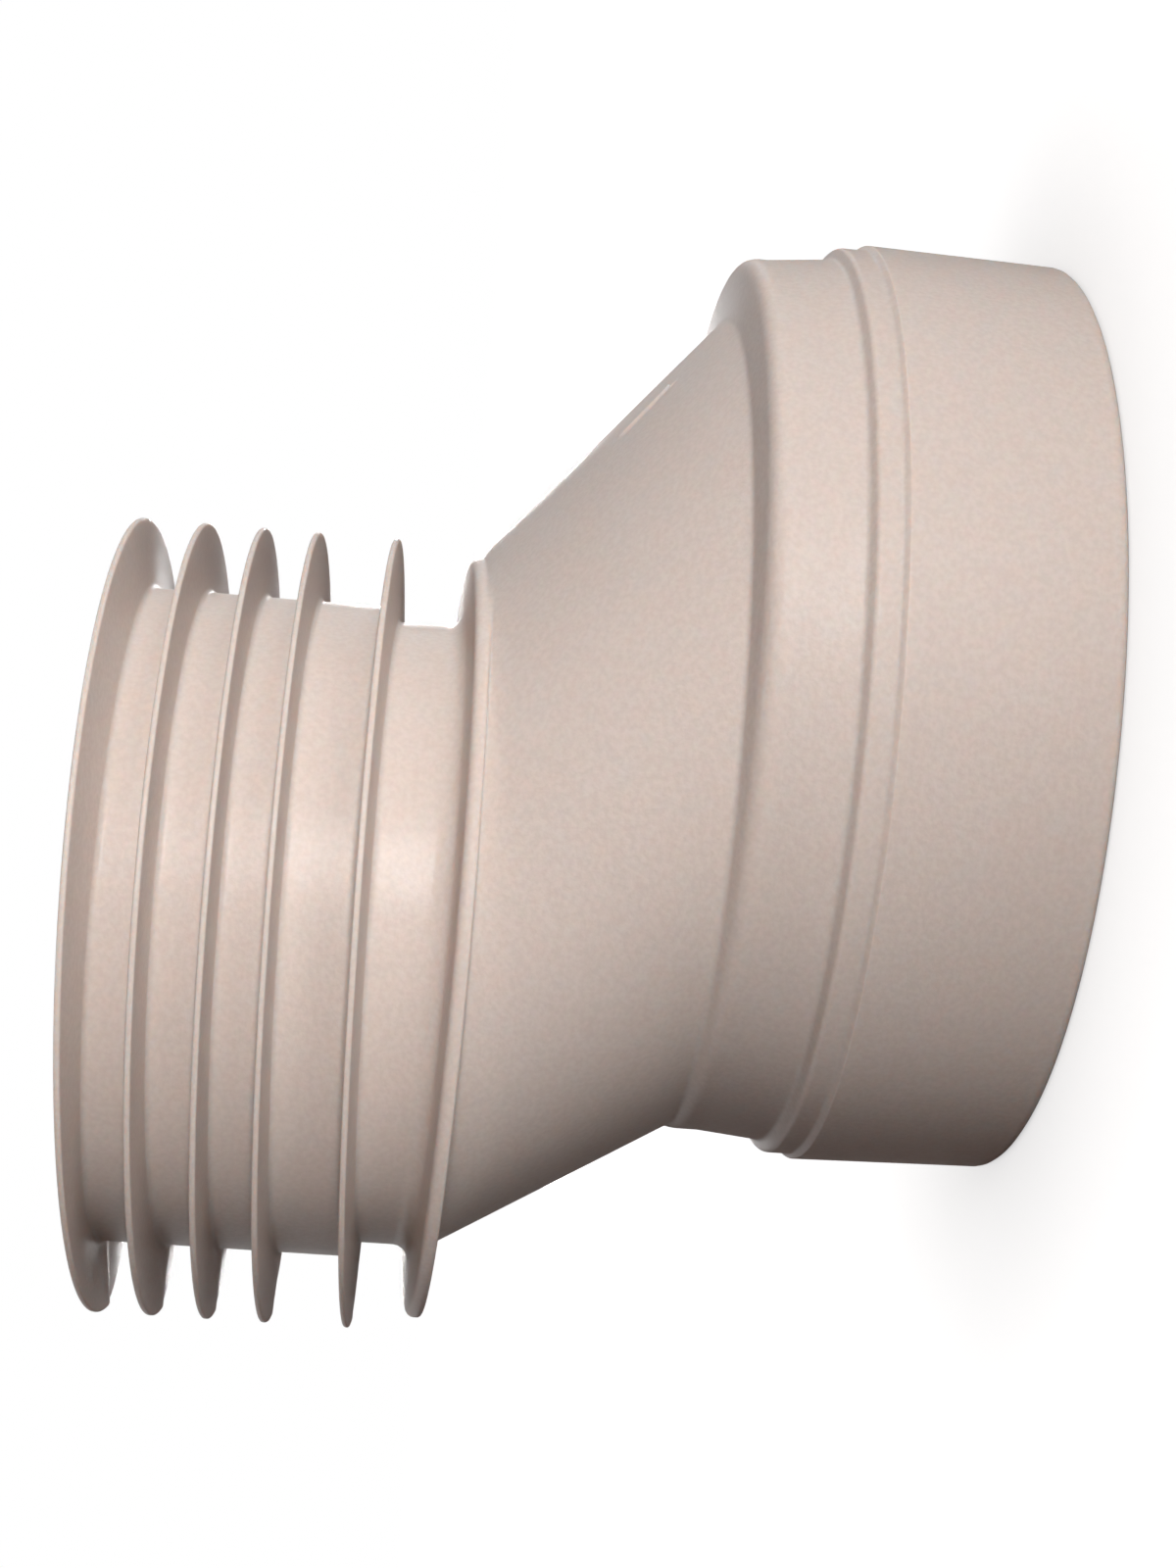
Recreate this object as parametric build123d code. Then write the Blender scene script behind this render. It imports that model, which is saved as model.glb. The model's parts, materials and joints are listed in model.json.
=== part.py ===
"""Offset toilet pan connector: one soft plastic moulding between a pan's horn and a soil pipe.

The inlet mouth stands on Z = 0 with its axis on Z. Waste flows along +Z and leaves by the finned
spigot, whose axis is set to the -X side. The moulding is symmetrical about the plane Y = 0.
"""

import os

from build123d import *

# Moulding
wall = 3.2
axis_offset = 38.0
bore_run_on = 0.3

# Inlet socket: sleeve at the mouth, then a bead and the plain collar, each a step smaller
mouth_dia = 132.2
mouth_round = 1.4
sleeve_dia = 133.6
sleeve_length = 27.8
sleeve_round = 0.5
bead_step = 0.5
bead_dia = 131.8
bead_length = 3.4
bead_round = 0.8
collar_dia = 127.5
collar_length = 13.9
shoulder_round = 0.8

# Sealing lips inside the sleeve, sloping inwards from the wall to a short round land
lip_count = 3
lip_bore_dia = 94.0
lip_first_height = 2.6
lip_pitch = 8.4
lip_rise = 6.0
lip_root = 2.0
lip_tip = 1.2

# Oblique cone from the collar to the stop flange
cone_length = 33.3
cone_small_dia = 99.4
cone_large_dia = 119.0
cone_inset = 0.8
cone_setback = 1.6

# Outlet spigot: stop flange, neck, then the finned tube
flange_dia = 110.0
flange_thickness = 2.0
flange_round = 0.6
neck_dia = 90.0
neck_round = 2.0
neck_length = 10.3
tube_dia = 94.2
nose_chamfer = 0.4

# Sealing fins: one at the end of the neck, then an even row towards the nose
fin_dia = 114.0
fin_rim = 0.8
fin_root = 1.8
fin_root_round = 0.7
fin_row_count = 4
fin_row_gap = 11.2
fin_pitch = 8.0

# Heights along the flow
bead_top = sleeve_length + bead_step + bead_length
collar_top = bead_top + collar_length
flange_low = collar_top + cone_length
flange_top = flange_low + flange_thickness
neck_top = flange_top + neck_length
fin_row = [neck_top + fin_row_gap + fin_pitch * step for step in range(fin_row_count)]
nose_top = fin_row[-1] + fin_root + nose_chamfer

# The cone's small end lies just inside the flange's rim on the inlet side, and its large end is set
# back from the collar on the outlet side; each is sunk a little into the solid that it grows from
outlet_x = -axis_offset
cone_small_x = outlet_x + (flange_dia - cone_small_dia) / 2 - cone_inset
cone_large_x = (cone_large_dia - collar_dia) / 2 + cone_setback
cone_head = flange_top - cone_inset
cone_foot = collar_top - shoulder_round


def turned(corners, axis_x=0.0):
    """Turn a closed half section round an upright axis; a corner is (radius, height, rounding)."""
    outline = FilletPolyline(
        *[(radius, height) for radius, height, _ in corners],
        radius=[rounding for _, _, rounding in corners],
        close=True,
    )
    return Pos(axis_x, 0, 0) * revolve(Plane.XZ * make_face(outline), Axis.Z)


def hollow(side, axis_x=0.0):
    """Turn the space that lies a wall inside an outline, given by its corners (radius, height)."""
    other_side = [(-radius, height) for radius, height in reversed(side)]
    section = make_face(Polyline(*side, *other_side, close=True))
    inside = offset(section, amount=-wall, kind=Kind.INTERSECTION)
    half = split(inside, bisect_by=Plane.YZ, keep=Keep.TOP)
    return Pos(axis_x, 0, 0) * revolve(Plane.XZ * half, Axis.Z)


def cone_circle(height, thickness):
    """Level circle of the oblique cone at a height, shrunk by a thickness of wall."""
    share = (height - cone_foot) / (cone_head - cone_foot)
    centre_x = cone_large_x + share * (cone_small_x - cone_large_x)
    outer_dia = cone_large_dia + share * (cone_small_dia - cone_large_dia)
    return Pos(centre_x, 0, height) * Circle(outer_dia / 2 - thickness)


def oblique_cone(low, high, thickness):
    """Rule the cone's straight sides between two of its level circles."""
    return loft([cone_circle(low, thickness), cone_circle(high, thickness)], ruled=True)


def socket_outside():
    """Sleeve with its slight taper to the mouth, bead, collar and rounded shoulder."""
    return turned(
        [
            (0, 0, 0),
            (mouth_dia / 2, 0, mouth_round),
            (sleeve_dia / 2, sleeve_length, sleeve_round),
            (bead_dia / 2, sleeve_length + bead_step, 0),
            (bead_dia / 2, bead_top, bead_round),
            (collar_dia / 2, bead_top, 0),
            (collar_dia / 2, collar_top, shoulder_round),
            (0, collar_top, 0),
        ]
    )


def socket_inside():
    """Hollow for the pan's horn, which stops against the crescent under the shoulder."""
    return hollow(
        [
            (mouth_dia / 2, -bore_run_on - wall),
            (mouth_dia / 2, 0),
            (sleeve_dia / 2, sleeve_length),
            (bead_dia / 2, sleeve_length + bead_step),
            (bead_dia / 2, bead_top),
            (collar_dia / 2, bead_top),
            (collar_dia / 2, collar_top),
        ]
    )


def sealing_lip(root_height):
    """Thin conical lip, rooted in the tapering sleeve's wall, whose land grips the horn."""
    taper = (sleeve_dia - mouth_dia) / 2 / sleeve_length
    root_radius = mouth_dia / 2 + taper * root_height - wall / 2
    tip_height = root_height + lip_rise
    return turned(
        [
            (root_radius, root_height, 0),
            (root_radius, root_height + lip_root, 0),
            (lip_bore_dia / 2, tip_height + lip_tip, 0),
            (lip_bore_dia / 2, tip_height, 0),
        ]
    )


def spigot_outside():
    """Stop flange, neck and the wider tube that carries the fins."""
    return turned(
        [
            (0, flange_low, 0),
            (flange_dia / 2, flange_low, flange_round),
            (flange_dia / 2, flange_top, flange_round),
            (neck_dia / 2, flange_top, neck_round),
            (neck_dia / 2, neck_top, 0),
            (tube_dia / 2, neck_top, 0),
            (tube_dia / 2, nose_top - nose_chamfer, 0),
            (tube_dia / 2 - nose_chamfer, nose_top, 0),
            (0, nose_top, 0),
        ],
        outlet_x,
    )


def spigot_inside():
    """Waterway through the neck, opening out in the tube so that the wall stays even."""
    return hollow(
        [
            (neck_dia / 2, flange_low - bore_run_on - wall),
            (neck_dia / 2, neck_top),
            (tube_dia / 2, neck_top),
            (tube_dia / 2, nose_top + bore_run_on + wall),
        ],
        outlet_x,
    )


def sealing_fin(height, low_dia, high_dia):
    """Thin disc, thicker at the rounded root that it has on the round below it and the one above."""
    return turned(
        [
            (0, height - fin_root, 0),
            (low_dia / 2, height - fin_root, 0),
            (low_dia / 2, height - fin_root / 2, fin_root_round),
            (fin_dia / 2, height - fin_rim / 2, 0),
            (fin_dia / 2, height + fin_rim / 2, 0),
            (high_dia / 2, height + fin_root / 2, fin_root_round),
            (high_dia / 2, height + fin_root, 0),
            (0, height + fin_root, 0),
        ],
        outlet_x,
    )


outside = socket_outside() + spigot_outside() + oblique_cone(cone_foot, cone_head, 0)
outside += sealing_fin(neck_top, neck_dia, tube_dia)
outside += [sealing_fin(height, tube_dia, tube_dia) for height in fin_row]

waterway = socket_inside() + spigot_inside()
waterway += oblique_cone(collar_top - wall - bore_run_on, flange_low, wall)

lips = [sealing_lip(lip_first_height + lip_pitch * step) for step in range(lip_count)]
pan_connector = outside - waterway + lips

os.makedirs("parts", exist_ok=True)
export_step(pan_connector, "parts/pan_connector.step")
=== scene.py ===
import json
import math

import bpy
import numpy as np
from mathutils import Matrix, Vector


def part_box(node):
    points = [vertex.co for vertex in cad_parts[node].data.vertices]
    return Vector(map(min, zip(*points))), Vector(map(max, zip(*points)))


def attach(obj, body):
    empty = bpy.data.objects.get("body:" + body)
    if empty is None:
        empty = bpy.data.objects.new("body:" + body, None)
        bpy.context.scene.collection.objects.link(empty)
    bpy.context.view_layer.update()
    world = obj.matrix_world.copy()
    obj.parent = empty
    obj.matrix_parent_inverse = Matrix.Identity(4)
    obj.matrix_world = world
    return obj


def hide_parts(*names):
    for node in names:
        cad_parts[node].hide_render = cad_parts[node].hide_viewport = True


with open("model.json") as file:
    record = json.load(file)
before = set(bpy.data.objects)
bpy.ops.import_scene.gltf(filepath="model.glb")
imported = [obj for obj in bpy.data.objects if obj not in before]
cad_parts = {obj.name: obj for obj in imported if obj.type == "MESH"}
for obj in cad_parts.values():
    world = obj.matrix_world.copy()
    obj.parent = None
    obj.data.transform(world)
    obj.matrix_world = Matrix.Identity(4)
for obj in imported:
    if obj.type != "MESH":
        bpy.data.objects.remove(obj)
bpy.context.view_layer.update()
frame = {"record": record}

# Pan connector, the outside of its socket: a sleeve that tapers to the mouth, a bead and a plain collar,
# each a step smaller. It is soft polyethylene, moulded in one shot with all that follows. The skin is a
# chain of rings; a ring has its axis at a place in X and, at each angle, a radius and a height.
mm = 0.001
part_low, part_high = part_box("pan_connector")
sleeve_radius = part_high[1]
sleeve_top = 27.8 * mm
sleeve_round = 0.4 * mm
mouth_radius = 66.1 * mm
mouth_round = 1.4 * mm
rim_middle = 64.4 * mm
bead_radius = 66.1 * mm
bead_low = 28.5 * mm
bead_low_round = 0.8 * mm
bead_top = 31.8 * mm
bead_top_round = 0.9 * mm
collar_low = 32.8 * mm
collar_low_radius = 64.4 * mm
collar_low_round = 0.9 * mm
collar_radius = 63.55 * mm
shoulder_low = 45.4 * mm
shoulder_run_in = 3.6 * mm
# The angles of every ring, with a few more close together where the cone's low bar stands.
ring_steps = 212
bar_angle = math.radians(-20.6)
bar_sides = np.radians([-0.8, -0.5, -0.2, 0.1, 0.8])
even_turn = np.arange(ring_steps) / ring_steps * 2 * math.pi - math.pi
turn = np.sort(np.concatenate([even_turn, bar_angle + bar_sides]))


def outline(corners, arc_rows=5, reach=0.3 * mm, longest=7 * mm):
    """Rows of an outline whose corners are (radius, height, rounding).

    A corner turns on the arc that touches both its sides. Each straight side between two arcs has a
    row close to either end, which keeps the side flat, and rows no further apart than the longest step.
    """
    places = np.array([corner[:2] for corner in corners])
    roundings = [corner[2] for corner in corners[1:-1]]
    share = np.linspace(0, 1, arc_rows)[:, None]
    arcs = [places[:1]]
    for before, corner, after, rounding in zip(places, places[1:], places[2:], roundings):
        back = (before - corner) / np.linalg.norm(before - corner)
        ahead = (after - corner) / np.linalg.norm(after - corner)
        half = math.acos(np.clip(back @ ahead, -1, 1)) / 2
        middle = corner + (back + ahead) / np.linalg.norm(back + ahead) * rounding / math.sin(half)
        start = corner + back * rounding / math.tan(half) - middle
        end = corner + ahead * rounding / math.tan(half) - middle
        sweep = math.pi - 2 * half
        arc = np.sin((1 - share) * sweep) * start + np.sin(share * sweep) * end
        arcs.append(middle + arc / math.sin(sweep))
    arcs.append(places[-1:])
    rows = [arcs[0]]
    for low, high in zip(arcs, arcs[1:]):
        length = np.linalg.norm(high[0] - low[-1])
        if length > 2 * reach:
            end_share = reach / length
            steps = np.linspace(end_share, 1 - end_share, 2 + int(length / longest))[:, None]
            rows.append(low[-1] + steps * (high[0] - low[-1]))
        rows.append(high)
    return np.repeat(np.concatenate(rows)[:, :, None], len(turn), axis=2)


socket_skin = outline([
    (rim_middle, 0),
    (mouth_radius, 0, mouth_round),
    (sleeve_radius, sleeve_top, sleeve_round),
    (bead_radius, bead_low, bead_low_round),
    (bead_radius, bead_top, bead_top_round),
    (collar_low_radius, collar_low, collar_low_round),
    (collar_radius, shoulder_low - shoulder_run_in),
])

# The oblique cone and the shoulder that it grows from. The cone's level circles move to the outlet side
# as they shrink, so the shoulder is a sloping crescent that is wide at +X and dies out at -X. A short
# low bar is moulded on the cone's +X side.
mounts = {mount["name"]: mount for mount in frame["record"]["mounts"]}
outlet_x = mounts["outlet_fins"]["pos_m"][0]
flange_top = mounts["stop_face"]["pos_m"][2]
flange_low = flange_top - 2.0 * mm
cone_foot = 44.8 * mm
cone_foot_x = -2.65 * mm
cone_foot_radius = 59.5 * mm
cone_head = 80.1 * mm
cone_head_x = -33.5 * mm
cone_head_radius = 49.7 * mm
shoulder_rise = 1.3 * mm
shoulder_lean = 0.008
shoulder_reach = 2.2 * mm
shoulder_share = 0.48
crease_reach = 0.6 * mm
bend_share = 0.4
cone_run_in = 2.2 * mm
cone_run_out = 4.0 * mm
cone_rows = 12
bar_low = 55.3 * mm
bar_high = 61.6 * mm
bar_end = 0.3 * mm
bar_height = 0.6 * mm
bar_half_width = 0.5 * mm


def cone_ring(height, axis_x, thickness=0.0):
    """Ring in which the cone, shrunk by a thickness of wall, is met from an upright axis.

    The level circle has its centre at d from the axis and radius r: the radius met at an angle a is
    d cos a + sqrt(r^2 - d^2 sin^2 a). A column of heights gives as many rings.
    """
    share = (height - cone_foot) / (cone_head - cone_foot)
    apart = cone_foot_x + share * (cone_head_x - cone_foot_x) - axis_x
    radius = cone_foot_radius + share * (cone_head_radius - cone_foot_radius) - thickness
    return np.stack([
        apart * np.cos(turn) + np.sqrt(radius ** 2 - (apart * np.sin(turn)) ** 2),
        height + 0 * turn,
    ], axis=-2)


def level(radius, height):
    """One ring of a radius and a height, either of them free to change with the angle."""
    return np.stack([radius + 0 * turn, height + 0 * turn])


def bend(before, corner, after, reach, rows):
    """Rows round a corner whose place changes with the angle: the parabola that leaves the side before
    the corner at a reach from it and joins the side after it at the same reach."""
    back = (before - corner) / np.linalg.norm(before - corner, axis=0)
    ahead = (after - corner) / np.linalg.norm(after - corner, axis=0)
    share = np.linspace(0, 1, rows)[:, None, None]
    return corner + reach * ((1 - share) ** 2 * back + share ** 2 * ahead)


def ruled(low, high, edge):
    """Three rows on the straight line between two rings: half way, and at a share of it from each end."""
    return low + np.array([edge, 0.5, 1 - edge])[:, None, None] * (high - low)


shoulder_edge = level(collar_radius, shoulder_low + shoulder_lean * collar_radius * np.sin(turn))
crease_height = shoulder_low + shoulder_rise
crease = cone_ring(crease_height, 0.0)
cone_start_height = crease_height + cone_run_in
cone_start = cone_ring(cone_start_height, 0.0)
shoulder_room = np.linalg.norm(shoulder_edge - crease, axis=0)
edge_reach = np.minimum(shoulder_reach, shoulder_share * shoulder_room)
shoulder_bend = bend(socket_skin[-1], shoulder_edge, crease, edge_reach, rows=8)
foot_reach = np.minimum(crease_reach, bend_share * shoulder_room)
crease_bend = bend(shoulder_edge, crease, cone_start, foot_reach, rows=6)
shoulder_skin = np.concatenate([
    shoulder_bend,
    ruled(shoulder_bend[-1], crease_bend[0], edge=0.08),
    crease_bend,
    cone_start[None],
])
cone_end_height = flange_low - cone_run_out
cone_rise = cone_end_height - cone_start_height
bar_heights = np.array([bar_low - bar_end, bar_low, bar_high, bar_high + bar_end])
even_climb = np.linspace(0, 1, cone_rows)[1:]
climb = np.sort(np.concatenate([even_climb, (bar_heights - cone_start_height) / cone_rise]))[:, None]
cone_skin = cone_ring(cone_start_height + climb * cone_rise, climb * outlet_x)
bar_across = np.exp(-(cone_skin[:, 0] * (turn - bar_angle) / bar_half_width) ** 4)
bar_inside = np.minimum(cone_skin[:, 1] - bar_low, bar_high - cone_skin[:, 1])
cone_skin[:, 0] += bar_height * bar_across * np.clip(1 + bar_inside / bar_end, 0, 1)

# Stop flange and neck of the outlet spigot. The flange runs into the cone at +X and elsewhere it stands
# clear. The soft moulding is bent a little, so that its level planes lean more from the bead up to the
# flange, and the flange is askew besides; both die out along the neck.
flange_radius = 55.0 * mm
flange_rise = 0.6 * mm
flange_round = 1.1 * mm
rim_drop = 1.3 * mm
rim_share = 0.85
ledge_reach = 0.6 * mm
merge_width = 2.0 * mm
merge_drop = 0.5 * mm
merge_lift = 0.3 * mm
neck_radius = 45.0 * mm
neck_round = 2.2 * mm
neck_start = flange_top + 6.0 * mm
hold_top = flange_top + 2.0 * mm
flange_lift = 0.33 * mm
flange_tilt = -0.65 * mm
lean = 0.035
lean_start = 26 * mm


def hold(rows):
    """Share of a shift that is left at the rows' heights: all of it to just over the flange, and from
    there evenly less, to none at the neck's start."""
    return np.clip((neck_start - rows[..., 1, :]) / (neck_start - hold_top), 0, 1)


def askew(rows):
    """Rows of the flange, lifted and tilted as a plane about the line through its axis along Y."""
    shift = flange_lift + flange_tilt * np.cos(turn) * rows[..., 0, :] / flange_radius
    return np.stack([rows[..., 0, :], rows[..., 1, :] + shift * hold(rows)], axis=-2)


def leaning(rows):
    """Rows with a height added that is a share of Y; the share grows evenly up to the flange."""
    share = lean * np.clip((rows[..., 1, :] - lean_start) / (flange_top - lean_start), 0, 1)
    shift = share * rows[..., 0, :] * np.sin(turn) * hold(rows)
    return np.stack([rows[..., 0, :], rows[..., 1, :] + shift], axis=-2)


ledge = flange_radius - cone_ring(flange_low, outlet_x)[0]
merge = np.clip(1 - ledge / merge_width, 0, 1)
root = askew(cone_ring(flange_low - merge_drop * merge, outlet_x))
flange_crease = cone_ring(root[1], outlet_x)
flange_edge = askew(level(flange_radius, flange_low + merge_lift * merge))
flange_rim = askew(level(flange_radius, flange_top - rim_drop))
cone_end = cone_ring(cone_end_height, outlet_x)
ledge_room = np.linalg.norm(flange_edge - flange_crease, axis=0)
rim_room = np.linalg.norm(flange_rim - flange_edge, axis=0)
root_reach = np.minimum(ledge_reach, bend_share * ledge_room)
ledge_bend = bend(cone_end, flange_crease, flange_edge, root_reach, rows=5)
rim_reach = np.minimum(bend_share * ledge_room, rim_share * rim_room)
edge_bend = bend(flange_crease, flange_edge, flange_rim, rim_reach, rows=5)
flange_skin = np.concatenate([
    ledge_bend,
    ruled(ledge_bend[-1], edge_bend[0], edge=0.06),
    edge_bend,
    askew(outline([
        (flange_radius, flange_top - rim_drop),
        (flange_radius, flange_top, flange_round),
        (neck_radius, flange_top + flange_rise, neck_round),
        (neck_radius, neck_start),
    ])),
])

# Sealing fins on the tube, and the nose. The fins are thin discs, moulded with the tube and thicker at a
# rounded root. Each sits a little askew in its own way, their rims are warped on one side, and the last
# one's rim leans over where the part was packed.
fin_radius = outlet_x - part_low[0]
fin_heights = np.array([91.2, 102.4, 110.4, 118.4, 126.4]) * mm
fin_half_root = 0.9 * mm
fin_root_round = 0.7 * mm
fin_half_rim = 0.4 * mm
fin_rim_round = 0.3 * mm
neck_run_in = 0.4 * mm
tube_radius = 47.1 * mm
tube_bore = 43.9 * mm
neck_bore = 41.8 * mm
bore_step = 94.4 * mm
bore_round = 0.4 * mm
neck_run_out = 1.2 * mm
nose_top = part_high[2]
nose_chamfer = 0.4 * mm
nose_round = 0.15 * mm
nose_middle = (tube_radius + tube_bore) / 2
nose_gap = 0.3 * mm
last_fin_foot = fin_heights[4] - 2 * mm
tilt_heights = [neck_start, *fin_heights[:4], last_fin_foot]
tilt_lift = np.array([0, -0.95, -0.55, -0.55, -0.65, 0]) * mm
tilt_x = np.array([0, 0.85, 0.65, 0.45, 0.75, 0]) * mm
tilt_y = np.array([0, -1.55, -0.85, -0.55, -1.05, 0]) * mm
last_rim_lift = -0.43 * mm
last_rim_x = 1.35 * mm
last_rim_y = -1.72 * mm
warp = np.array([0.6, 1.2, 1.3, 1.9, 2.6]) * mm
warp_angle = 140
warp_spread = 30
fin_corners = [(neck_radius, neck_start + neck_run_in)]
for fin_height in fin_heights:
    below = neck_radius if fin_height == fin_heights[0] else tube_radius
    fin_corners += [
        (below, fin_height - fin_half_root, fin_root_round),
        (fin_radius, fin_height - fin_half_rim, fin_rim_round),
        (fin_radius, fin_height + fin_half_rim, fin_rim_round),
        (tube_radius, fin_height + fin_half_root, fin_root_round),
    ]
fin_skin = outline(fin_corners + [
    (tube_radius, nose_top - nose_chamfer, nose_round),
    (tube_radius - nose_chamfer, nose_top, nose_round),
    (nose_middle, nose_top),
])
row_heights = fin_skin[:, 1, :1].copy()
plane_tilt = (
    np.interp(row_heights, tilt_heights, tilt_x) * np.cos(turn)
    + np.interp(row_heights, tilt_heights, tilt_y) * np.sin(turn)
)
last_rim_lean = last_rim_lift + last_rim_x * np.cos(turn) + last_rim_y * np.sin(turn)
stand_off = np.clip((fin_skin[:, 0] - tube_radius) / (fin_radius - tube_radius), 0, 1)
warp_shape = np.exp(-((np.degrees(turn) - warp_angle) / warp_spread) ** 2)
fin_skin[:, 1] += (
    np.interp(row_heights, tilt_heights, tilt_lift)
    + plane_tilt * fin_skin[:, 0] / fin_radius
    + last_rim_lean * stand_off * (row_heights > last_fin_foot)
    + np.interp(row_heights, fin_heights, warp) * warp_shape * stand_off
)
spigot_inside = outline([
    (nose_middle - nose_gap, nose_top),
    (tube_bore, nose_top, bore_round),
    (tube_bore, bore_step, bore_round),
    (neck_bore, bore_step, bore_round),
    (neck_bore, flange_low + neck_run_out),
])

# The waterway back through the cone to the socket, where the pan's horn stops under the shoulder. Three
# sloping lips, moulded with the sleeve, stand out from its wall and end in short lands that grip the
# horn.
wall = 3.2 * mm
cone_mouth_drop = 0.4 * mm
bore_run_in = 1.6 * mm
bore_run_out = 1.2 * mm
bore_rows = 8
mouth_reach = 0.5 * mm
stop_reach = 0.5 * mm
socket_bore_top = 42.4 * mm
socket_corner_reach = 0.8 * mm
socket_corner_end = socket_bore_top - 2 * mm
collar_bore = 60.55 * mm
collar_bore_low = bead_low + 0.2 * mm
bead_bore = 62.7 * mm
bead_bore_low = 26.42 * mm
sleeve_bore = 63.55 * mm
sleeve_bore_top = 25.94 * mm
sleeve_bore_round = 0.2 * mm
mouth_bore = 62.9 * mm
rim_gap = 0.7 * mm
lip_bore = mounts["inlet_seal"]["dims"]["r_mm"] * mm
lip_heights = np.array([19.4, 11.0, 2.6]) * mm
lip_rise = 6.0 * mm
lip_root = 2.0 * mm
lip_root_round = 0.4 * mm
lip_tip = 1.2 * mm
lip_tip_round = 0.3 * mm
neck_mouth = level(neck_bore, flange_low)
cone_mouth = cone_ring(flange_low - cone_mouth_drop, outlet_x, wall)
bore_start_height = flange_low - bore_run_in
bore_start = cone_ring(bore_start_height, outlet_x, wall)
bore_end_height = socket_bore_top + bore_run_out
bore_end = cone_ring(bore_end_height, 0.0, wall)
mouth_room = np.linalg.norm(neck_mouth - cone_mouth, axis=0)
sill_reach = np.minimum(mouth_reach, bend_share * mouth_room)
neck_inside = np.concatenate([
    bend(spigot_inside[-1], neck_mouth, cone_mouth, sill_reach, rows=4),
    bend(neck_mouth, cone_mouth, bore_start, sill_reach, rows=4),
])
descent = np.linspace(1, 0, bore_rows)[:, None]
bore_heights = bore_end_height + descent * (bore_start_height - bore_end_height)
cone_inside = cone_ring(bore_heights, descent * outlet_x, wall)
cone_sill = cone_ring(socket_bore_top, 0.0, wall)
bore_corner = level(collar_bore, socket_bore_top)
collar_start = level(collar_bore, socket_corner_end)
stop_bend = bend(bore_end, cone_sill, bore_corner, stop_reach, rows=4)
corner_bend = bend(cone_sill, bore_corner, collar_start, socket_corner_reach, rows=4)
lip_corners = []
for lip_height in lip_heights:
    wall_radius = mouth_bore + (sleeve_bore - mouth_bore) * lip_height / sleeve_top
    run_in = (wall / 2) / (wall_radius + wall / 2 - lip_bore)
    lip_corners += [
        (wall_radius, lip_height + lip_root + run_in * (lip_rise + lip_tip - lip_root), lip_root_round),
        (lip_bore, lip_height + lip_rise + lip_tip, lip_tip_round),
        (lip_bore, lip_height + lip_rise, lip_tip_round),
        (wall_radius, lip_height + run_in * lip_rise, lip_root_round),
    ]
socket_inside = np.concatenate([
    stop_bend,
    ruled(stop_bend[-1], corner_bend[0], edge=0.1),
    corner_bend,
    outline([
        (collar_bore, socket_corner_end),
        (collar_bore, collar_bore_low, bore_round),
        (bead_bore, collar_bore_low, bore_round),
        (bead_bore, bead_bore_low, sleeve_bore_round),
        (sleeve_bore, sleeve_bore_top, sleeve_bore_round),
        *lip_corners,
        (mouth_bore, 0, bore_round),
        (rim_middle - rim_gap, 0),
    ]),
])

# The skin of the whole moulding: the rings are joined in their order and the last one to the first. A
# point lies at its ring's axis place, plus its radius times the cosine in X and the sine in Y of the
# angle, at its height.
stretches = [
    (leaning(socket_skin), 0.0),
    (leaning(shoulder_skin), 0.0),
    (leaning(cone_skin), climb[:, 0] * outlet_x),
    (leaning(flange_skin), outlet_x),
    (fin_skin, outlet_x),
    (spigot_inside, outlet_x),
    (neck_inside, outlet_x),
    (cone_inside, descent[:, 0] * outlet_x),
    (socket_inside, 0.0),
]
rings = np.concatenate([rows for rows, _ in stretches])
axes = np.concatenate([np.broadcast_to(axis, len(rows)) for rows, axis in stretches])
points = np.stack([
    axes[:, None] + rings[:, 0] * np.cos(turn),
    rings[:, 0] * np.sin(turn),
    rings[:, 1],
], axis=2).reshape(-1, 3)
ring, step = np.meshgrid(np.arange(len(rings)), np.arange(len(turn)), indexing="ij")
next_ring = (ring + 1) % len(rings) * len(turn)
next_step = (step + 1) % len(turn)
quads = np.stack([
    ring * len(turn) + step,
    ring * len(turn) + next_step,
    next_ring + next_step,
    next_ring + step,
], axis=2).reshape(-1, 4)
mesh = bpy.data.meshes.new("pan_connector_skin")
mesh.from_pydata(points.tolist(), [], quads.tolist())
mesh.shade_smooth()
moulding = bpy.data.objects.new("pan_connector_skin", mesh)
bpy.context.scene.collection.objects.link(moulding)

# Its material: pinkish beige polyethylene, a little translucent, with a satin skin and a fine mottled
# grain. Broad, faint clouds come from uneven flow in the mould. The spigot's half of the mould was
# polished, so the neck and the tube are a little glossier than the rest.
dark_beige = (0.63, 0.545, 0.495, 1)
pale_beige = (0.705, 0.62, 0.57, 1)
plain_gloss = 0.01
polished_gloss = 0.07
polish_fade = 1 * mm
plastic = bpy.data.materials.new("satin_polyethylene")
plastic.use_nodes = True
nodes = plastic.node_tree.nodes
links = plastic.node_tree.links
shader = nodes["Principled BSDF"]
shader.inputs["Roughness"].default_value = 0.45
shader.inputs["Specular IOR Level"].default_value = 0.15
shader.inputs["Coat Roughness"].default_value = 0.2
shader.inputs["Subsurface Weight"].default_value = 1.0
shader.inputs["Subsurface Radius"].default_value = (1.0, 0.65, 0.5)
shader.inputs["Subsurface Scale"].default_value = 1.1 * mm
part_place = nodes.new("ShaderNodeTexCoord")
clouds = nodes.new("ShaderNodeTexNoise")
clouds.inputs["Scale"].default_value = 45
clouds.inputs["Detail"].default_value = 4
grain = nodes.new("ShaderNodeTexNoise")
grain.inputs["Scale"].default_value = 1300
grain.inputs["Detail"].default_value = 3
speckle = nodes.new("ShaderNodeMapRange")
speckle.inputs["From Min"].default_value = 0.35
speckle.inputs["From Max"].default_value = 0.65
mottle = nodes.new("ShaderNodeMix")
mottle.inputs["Factor"].default_value = 0.6
tint = nodes.new("ShaderNodeMix")
tint.data_type = "RGBA"
tint.inputs["A"].default_value = dark_beige
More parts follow.
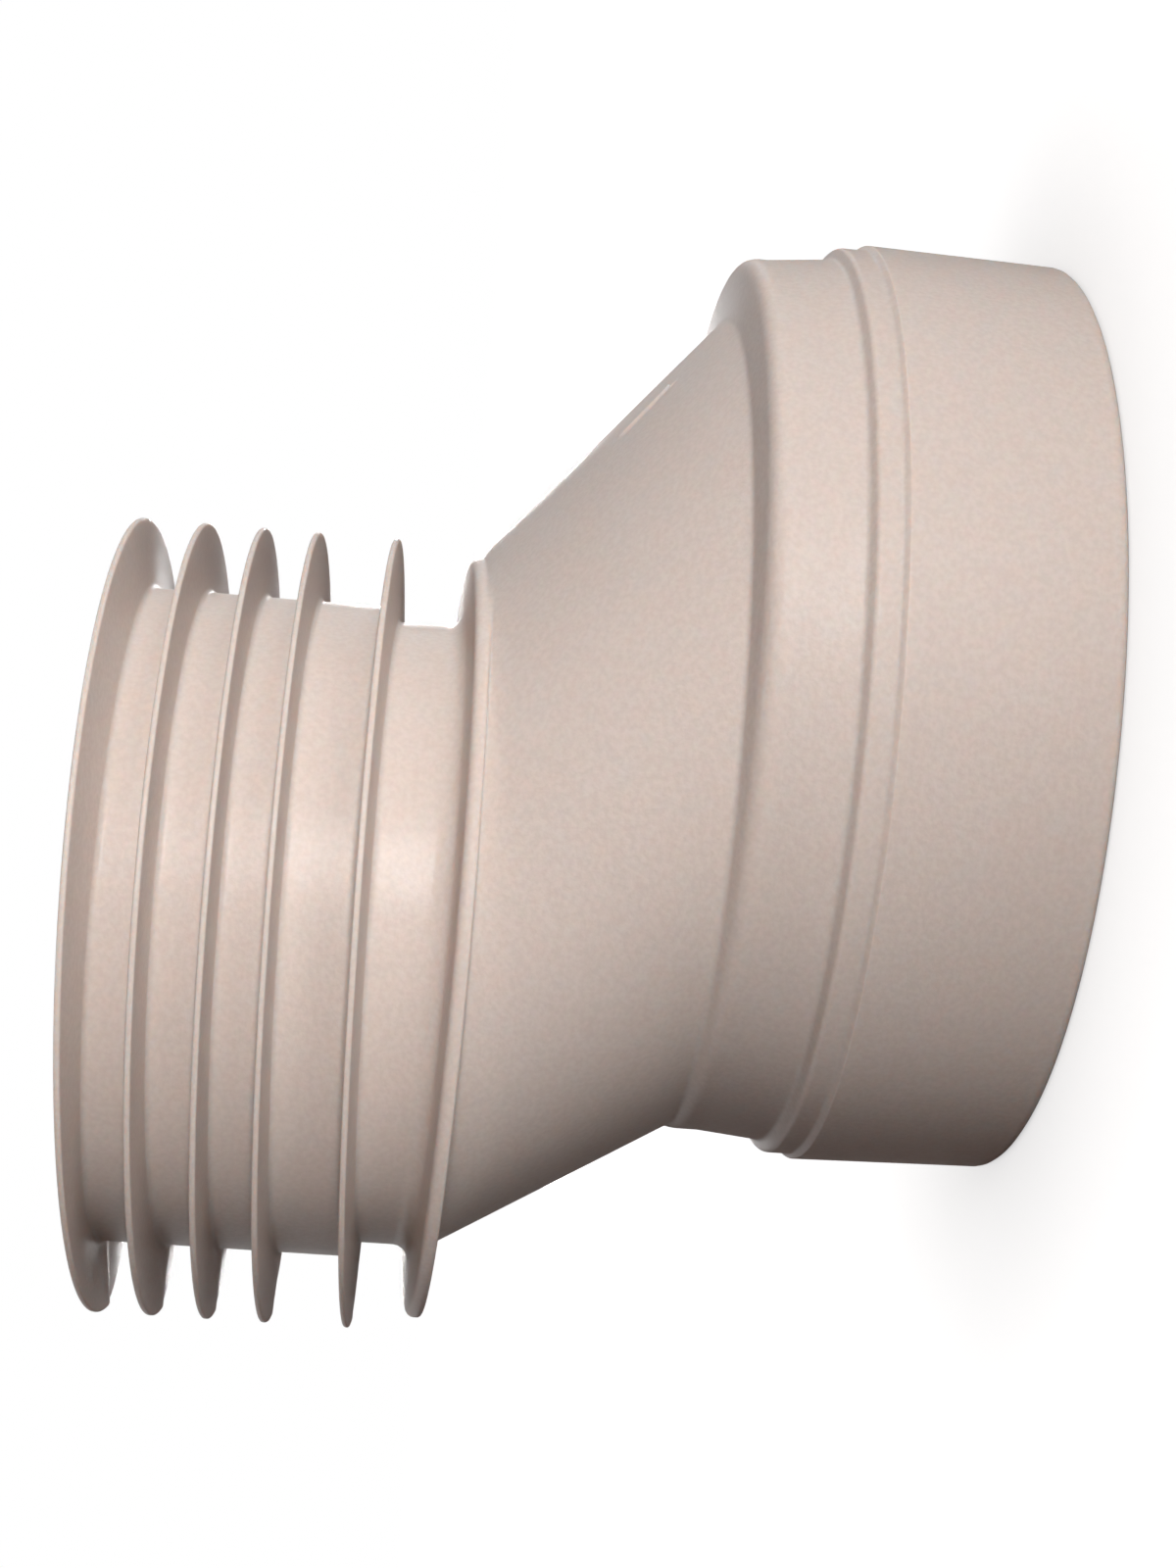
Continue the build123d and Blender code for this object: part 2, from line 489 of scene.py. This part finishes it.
tint.inputs["B"].default_value = pale_beige
bump = nodes.new("ShaderNodeBump")
bump.inputs["Strength"].default_value = 0.25
bump.inputs["Distance"].default_value = 0.2 * mm
along_flow = nodes.new("ShaderNodeSeparateXYZ")
gloss = nodes.new("ShaderNodeMapRange")
gloss.inputs["From Min"].default_value = flange_top - polish_fade
gloss.inputs["From Max"].default_value = flange_top + polish_fade
gloss.inputs["To Min"].default_value = plain_gloss
gloss.inputs["To Max"].default_value = polished_gloss
links.new(part_place.outputs["Object"], clouds.inputs["Vector"])
links.new(part_place.outputs["Object"], grain.inputs["Vector"])
links.new(part_place.outputs["Object"], along_flow.inputs["Vector"])
links.new(clouds.outputs["Fac"], mottle.inputs["A"])
links.new(grain.outputs["Fac"], speckle.inputs["Value"])
links.new(speckle.outputs["Result"], mottle.inputs["B"])
links.new(mottle.outputs["Result"], tint.inputs["Factor"])
links.new(tint.outputs["Result"], shader.inputs["Base Color"])
links.new(grain.outputs["Fac"], bump.inputs["Height"])
links.new(bump.outputs["Normal"], shader.inputs["Normal"])
links.new(along_flow.outputs["Z"], gloss.inputs["Value"])
links.new(gloss.outputs["Result"], shader.inputs["Coat Weight"])
mesh.materials.append(plastic)
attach(moulding, "root")
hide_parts("pan_connector")

# Floor: a wide pale sheet that the part stands on. To the camera it glows nearly white, and quite white
# further out.
# Close to the part the glow is dimmed by ambient occlusion, which paints a soft shadow there.
half_width = 6.0
floor_grey = (0.4, 0.4, 0.4, 1)
contact_distance = 0.06
contact_share = 0.55
near_glow = 0.95
near_distance = 0.2
far_distance = 0.7
floor_corners = np.array([(-1, -1, 0), (1, -1, 0), (1, 1, 0), (-1, 1, 0)]) * half_width
floor_mesh = bpy.data.meshes.new("floor")
floor_mesh.from_pydata(floor_corners.tolist(), [], [(0, 1, 2, 3)])
floor = bpy.data.objects.new("floor", floor_mesh)
bpy.context.scene.collection.objects.link(floor)
paper = bpy.data.materials.new("pale_floor")
paper.use_nodes = True
nodes = paper.node_tree.nodes
links = paper.node_tree.links
shader = nodes["Principled BSDF"]
shader.inputs["Base Color"].default_value = floor_grey
shader.inputs["Roughness"].default_value = 0.9
shader.inputs["Specular IOR Level"].default_value = 0.0
shader.inputs["Emission Color"].default_value = (1, 1, 1, 1)
floor_ray = nodes.new("ShaderNodeLightPath")
floor_place = nodes.new("ShaderNodeTexCoord")
distance = nodes.new("ShaderNodeVectorMath")
distance.operation = "LENGTH"
glow = nodes.new("ShaderNodeMapRange")
glow.inputs["From Min"].default_value = near_distance
glow.inputs["From Max"].default_value = far_distance
glow.inputs["To Min"].default_value = near_glow
glow.inputs["To Max"].default_value = 1.0
# Painted contact shadow: the more the part hides the surround of a floor point, the dimmer its glow.
nearby = nodes.new("ShaderNodeAmbientOcclusion")
nearby.samples = 4
nearby.inputs["Distance"].default_value = contact_distance
painted_contact_shadow = nodes.new("ShaderNodeMapRange")
painted_contact_shadow.inputs["To Min"].default_value = contact_share
painted_contact_shadow.inputs["To Max"].default_value = 1.0
dimmed = nodes.new("ShaderNodeMath")
dimmed.operation = "MULTIPLY"
seen = nodes.new("ShaderNodeMath")
seen.operation = "MULTIPLY"
links.new(floor_place.outputs["Object"], distance.inputs[0])
links.new(distance.outputs["Value"], glow.inputs["Value"])
links.new(nearby.outputs["AO"], painted_contact_shadow.inputs["Value"])
links.new(glow.outputs["Result"], dimmed.inputs[0])
links.new(painted_contact_shadow.outputs["Result"], dimmed.inputs[1])
links.new(dimmed.outputs["Value"], seen.inputs[0])
links.new(floor_ray.outputs["Is Camera Ray"], seen.inputs[1])
links.new(seen.outputs["Value"], shader.inputs["Emission Strength"])
floor_mesh.materials.append(paper)

# Light: a soft lamp in front and to the +X side, a weak one behind on the same side, a strong strip
# straight behind, which the camera's side never sees, and a weak lamp overhead. Two panels lie on the
# floor and light the part from below. The dim surround is white only to the camera and in reflections.
panel_height = 0.004
lamps = [
    ("front_lamp", (0.407, -0.959, 0.085), (0.40, 0.14), 9.3),
    ("back_lamp", (0.70, 0.77, 0.085), (0.40, 0.14), 0.3),
    ("rear_lamp", (0.0, 1.05, 0.12), (0.60, 0.03), 5.0),
    ("top_lamp", (-0.35, 0.25, 1.0), (0.50, 0.50), 2.0),
    ("low_lamp", (0.0, -0.25, panel_height), (0.165, 0.165), 0.17),
    ("side_lamp", (0.37, -0.08, panel_height), (0.165, 0.165), 0.45),
]
lamp_aim = Vector((-14 * mm, 0, 64 * mm))
straight_up = Vector((0, 0, 1))
surround_shade = (0.05, 0.02, 0.012, 1)
for lamp_name, lamp_place, lamp_size, power in lamps:
    lamp = bpy.data.lights.new(lamp_name, "AREA")
    lamp.shape = "RECTANGLE"
    lamp.size, lamp.size_y = lamp_size
    lamp.energy = power
    lamp_object = bpy.data.objects.new(lamp_name, lamp)
    lamp_object.location = lamp_place
    on_floor = lamp_place[2] == panel_height
    facing = straight_up if on_floor else lamp_aim - Vector(lamp_place)
    lamp_object.rotation_euler = facing.to_track_quat("-Z", "Y").to_euler()
    lamp_object.visible_glossy = not on_floor
    lamp_object.visible_camera = False
    bpy.context.scene.collection.objects.link(lamp_object)
surround = bpy.data.worlds.new("surround")
surround.use_nodes = True
nodes = surround.node_tree.nodes
links = surround.node_tree.links
background = nodes["Background"]
surround_ray = nodes.new("ShaderNodeLightPath")
looked_at = nodes.new("ShaderNodeMath")
looked_at.operation = "MAXIMUM"
mirrored = nodes.new("ShaderNodeMath")
mirrored.operation = "MAXIMUM"
shade = nodes.new("ShaderNodeMix")
shade.data_type = "RGBA"
shade.inputs["A"].default_value = surround_shade
shade.inputs["B"].default_value = (1, 1, 1, 1)
links.new(surround_ray.outputs["Is Camera Ray"], looked_at.inputs[0])
links.new(surround_ray.outputs["Is Glossy Ray"], looked_at.inputs[1])
links.new(looked_at.outputs["Value"], mirrored.inputs[0])
links.new(surround_ray.outputs["Is Transmission Ray"], mirrored.inputs[1])
links.new(mirrored.outputs["Value"], shade.inputs["Factor"])
links.new(shade.outputs["Result"], background.inputs["Color"])
bpy.context.scene.world = surround
bpy.context.scene.view_settings.view_transform = "Standard"

# Camera: close to the part, looking along +Y with +X at the top of the picture. Its lens and its place
# are those from which the part's circles look as they do in the photograph.
camera_place = Vector((-22.346, -361.614, 84.596)) * mm
camera_right = Vector((0.07545, -0.06738, -0.99487))
camera_up = Vector((0.99691, -0.01693, 0.07675))
camera = bpy.data.cameras.new("camera")
camera.sensor_fit = "VERTICAL"
camera.sensor_height = 36
camera.sensor_width = 36
camera.lens = 56.47
camera.clip_start = 0.01
camera_object = bpy.data.objects.new("camera", camera)
camera_object.matrix_world = (
    Matrix.Translation(camera_place)
    @ Matrix([camera_right, camera_up, camera_right.cross(camera_up)]).transposed().to_4x4()
)
bpy.context.scene.collection.objects.link(camera_object)
bpy.context.scene.camera = camera_object
